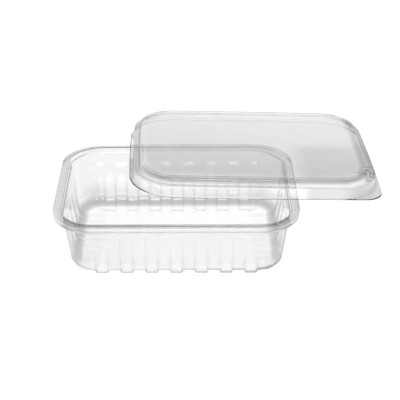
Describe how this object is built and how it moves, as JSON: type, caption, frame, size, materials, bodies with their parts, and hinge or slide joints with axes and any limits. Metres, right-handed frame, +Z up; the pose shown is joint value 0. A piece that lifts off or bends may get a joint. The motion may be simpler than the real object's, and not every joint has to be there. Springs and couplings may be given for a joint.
{
  "type": "takeaway meal container",
  "caption": "Clear rectangular takeaway tub with ribbed walls, small feet and a flanged rim, its loose domed lid with a pull tab lying askew across one corner.",
  "frame": {"origin": "middle of the base of the box round tub and lid, level with the underside of the tub's feet", "axes": "+X along the tub's long side towards the lid's overhang, +Y towards the back where the lid overhangs, +Z up"},
  "size_m": [0.2534, 0.1892, 0.0676],
  "materials": {
    "tub_clear": "clear thermoformed sheet",
    "lid_clear": "clear thermoformed sheet"
  },
  "bodies": {
    "root": {"tub": "tub_clear", "lid": "lid_clear"}
  },
  "joints": []
}
